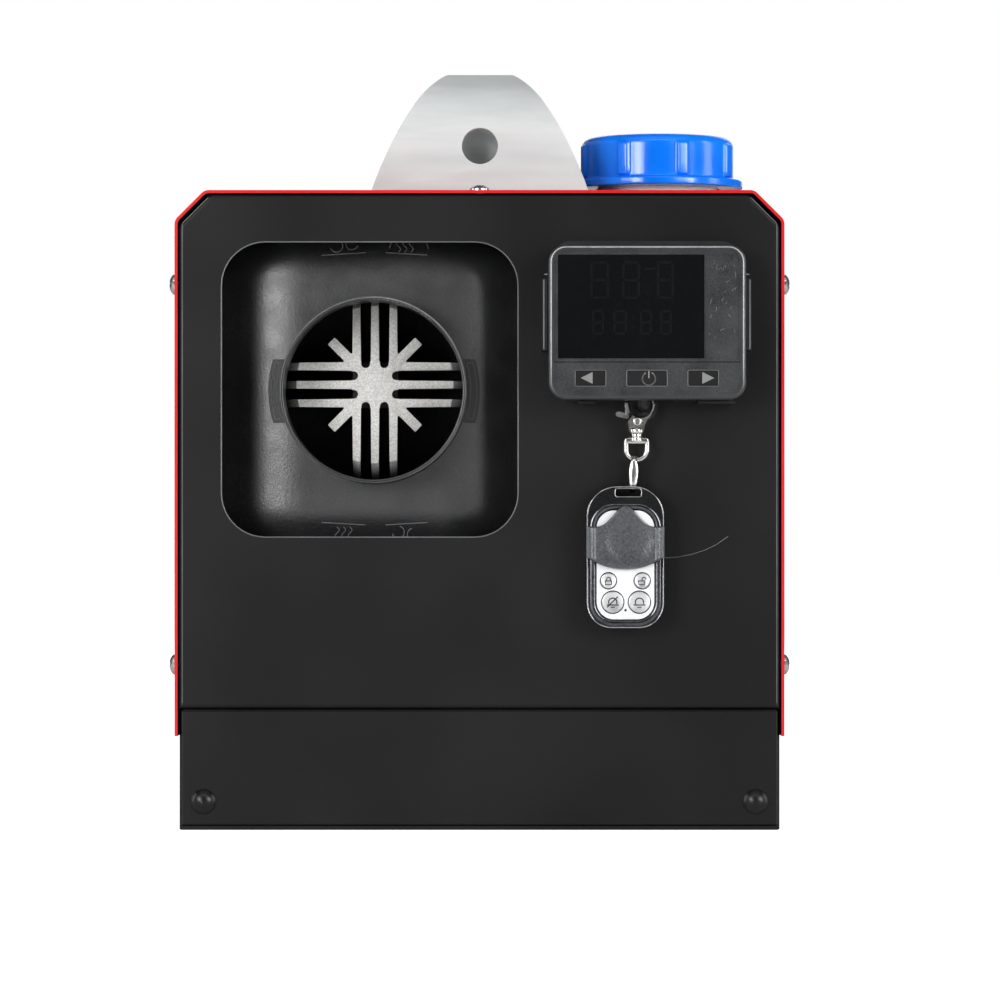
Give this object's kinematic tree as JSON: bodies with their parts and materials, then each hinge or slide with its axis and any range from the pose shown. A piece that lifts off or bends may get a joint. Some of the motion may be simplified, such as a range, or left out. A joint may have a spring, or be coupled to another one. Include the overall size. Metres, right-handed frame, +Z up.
{
  "type": "diesel air heater",
  "caption": "Portable diesel air heater in a folded sheet case with a duct outlet, side tank cap, carry handle, wall controller and hanging key fob.",
  "frame": {"origin": "on the floor, under the middle of the base", "axes": "+Z up, -Y towards the front with the duct ring and the controller, +X to the right seen from the front"},
  "size_m": [0.249, 0.435, 0.3078],
  "materials": {
    "red_sheet": "gloss red powder coat",
    "black_sheet": "satin black powder coat",
    "rivet_plastic": "gloss moulded nylon",
    "zinc_steel": "bright zinc plate",
    "steel_sheet": "zinc coated sheet",
    "handle_plastic": "natural moulded polyethylene",
    "tank_plastic": "natural blow-moulded polyethylene",
    "cap_plastic": "gloss moulded blue",
    "seal_rubber": "matt",
    "black_plastic": "fine moulded texture",
    "cast_aluminium": "as cast",
    "stainless": "drawn",
    "hose_rubber": "matt",
    "gland_plastic": "moulded nylon",
    "controller_plastic": "satin moulded",
    "lens_plastic": "dark smoked",
    "display_glass": "dark glass",
    "key_rubber": "satin silicone",
    "lead_jacket": "satin jacket",
    "chrome_metal": "bright plate",
    "fob_chrome": "bright plate on plastic",
    "fob_silver": "silver lacquer",
    "fob_dark": "textured dark grey"
  },
  "bodies": {
    "case": {"outer_cover": "red_sheet", "front_panel": "black_sheet", "rear_panel": "black_sheet", "base_pan": "black_sheet", "lower_front_cover": "black_sheet", "snap_rivets": "rivet_plastic", "case_screws": "zinc_steel", "heater_deck": "steel_sheet", "carry_handle": "handle_plastic", "handle_bolts": "zinc_steel", "fuel_tank": "tank_plastic", "outlet_hood": "black_plastic", "outlet_ring": "black_plastic", "casing_upper": "black_plastic", "casing_lower": "black_plastic", "intake_grille": "black_plastic", "heat_exchanger": "cast_aluminium", "mounting_nuts": "zinc_steel", "burner_tube": "stainless", "glow_plug": "stainless", "blower_housing": "cast_aluminium", "motor_housing": "steel_sheet", "control_board": "black_plastic", "exhaust_pipe": "stainless", "muffler": "stainless", "intake_hose": "hose_rubber", "intake_silencer": "black_plastic", "hose_clamps": "zinc_steel", "pump_body": "steel_sheet", "pump_clip": "seal_rubber", "fuel_filter": "tank_plastic", "fuel_hoses": "hose_rubber", "power_gland": "gland_plastic", "controller_bracket": "controller_plastic", "controller_back": "controller_plastic", "controller_bezel": "controller_plastic", "controller_lens": "lens_plastic", "controller_display": "display_glass", "controller_lead": "lead_jacket", "lead_grommet": "seal_rubber"},
    "fan": {"motor_shaft": "stainless", "cooling_fan": "black_plastic", "combustion_impeller": "cast_aluminium"},
    "cap_thread": {"cap_seal": "seal_rubber"},
    "cap": {"filler_cap": "cap_plastic"},
    "plunger": {"pump_plunger": "stainless"},
    "key_left": {"button_left": "key_rubber"},
    "key_power": {"button_power": "key_rubber"},
    "key_right": {"button_right": "key_rubber"},
    "clasp": {"clasp_body": "chrome_metal"},
    "gate": {"clasp_gate": "chrome_metal"},
    "swivel": {"swivel_ring": "chrome_metal"},
    "link": {"link_strip": "chrome_metal"},
    "fob": {"fob_case": "fob_chrome", "fob_faceplate": "fob_silver"},
    "fob_cover": {"fob_slide_cover": "fob_dark"},
    "fob_key_1": {"key_upper_left": "fob_chrome"},
    "fob_key_2": {"key_upper_right": "fob_chrome"},
    "fob_key_3": {"key_lower_left": "fob_chrome"},
    "fob_key_4": {"key_lower_right": "fob_chrome"}
  },
  "joints": [
    {"name": "fan_spin", "type": "hinge", "parent": "case", "child": "fan", "pos_m": [-0.0428, 0.152, 0.179], "axis": [0, 1, 0], "continuous": true},
    {"name": "cap_rise", "type": "slide", "parent": "case", "child": "cap_thread", "axis": [0, 0, 1], "range_m": [0, 0.018]},
    {"name": "cap_turn", "type": "hinge", "parent": "cap_thread", "child": "cap", "pos_m": [0.074, -0.115, 0.27], "axis": [0, 0, 1], "range_deg": [0, 815]},
    {"name": "plunger_stroke", "type": "slide", "parent": "case", "child": "plunger", "axis": [-1, 0, 0], "range_m": [0, 0.0025], "stiffness_N_per_m": 300},
    {"name": "key_left_press", "type": "slide", "parent": "case", "child": "key_left", "axis": [0, 1, 0], "range_m": [0, 0.0008], "stiffness_N_per_m": 200},
    {"name": "key_power_press", "type": "slide", "parent": "case", "child": "key_power", "axis": [0, 1, 0], "range_m": [0, 0.0008], "stiffness_N_per_m": 200},
    {"name": "key_right_press", "type": "slide", "parent": "case", "child": "key_right", "axis": [0, 1, 0], "range_m": [0, 0.0008], "stiffness_N_per_m": 200},
    {"name": "clasp_swing", "type": "hinge", "parent": "case", "child": "clasp", "pos_m": [0.0653, -0.202, 0.1694], "axis": [0, 1, 0], "range_deg": [0, 20]},
    {"name": "gate_open", "type": "hinge", "parent": "clasp", "child": "gate", "pos_m": [0.0602, -0.202, 0.1642], "axis": [0, 1, 0], "range_deg": [0, 20], "stiffness_Nm_per_rad": 0.002, "springref_deg": -17.19},
    {"name": "swivel_turn", "type": "hinge", "parent": "clasp", "child": "swivel", "pos_m": [0.0626, -0.202, 0.158], "axis": [0, 0, 1], "range_deg": [-6, 6]},
    {"name": "link_swing", "type": "hinge", "parent": "swivel", "child": "link", "pos_m": [0.0613, -0.202, 0.148], "axis": [-1, 0, 0], "range_deg": [0, 30]},
    {"name": "fob_swing", "type": "hinge", "parent": "link", "child": "fob", "pos_m": [0.0613, -0.202, 0.1369], "axis": [-1, 0, 0], "range_deg": [0, 20]},
    {"name": "fob_cover_slide", "type": "slide", "parent": "fob", "child": "fob_cover", "axis": [0, 0, -1], "range_m": [0, 0.018]},
    {"name": "fob_key_1_press", "type": "slide", "parent": "fob", "child": "fob_key_1", "axis": [0, 1, 0], "range_m": [0, 0.0005], "stiffness_N_per_m": 100},
    {"name": "fob_key_2_press", "type": "slide", "parent": "fob", "child": "fob_key_2", "axis": [0, 1, 0], "range_m": [0, 0.0005], "stiffness_N_per_m": 100},
    {"name": "fob_key_3_press", "type": "slide", "parent": "fob", "child": "fob_key_3", "axis": [0, 1, 0], "range_m": [0, 0.0005], "stiffness_N_per_m": 100},
    {"name": "fob_key_4_press", "type": "slide", "parent": "fob", "child": "fob_key_4", "axis": [0, 1, 0], "range_m": [0, 0.0005], "stiffness_N_per_m": 100}
  ],
  "couplings": [
    {"joint": "cap_turn", "follows": "cap_rise", "rad_per_m": 785.4}
  ]
}
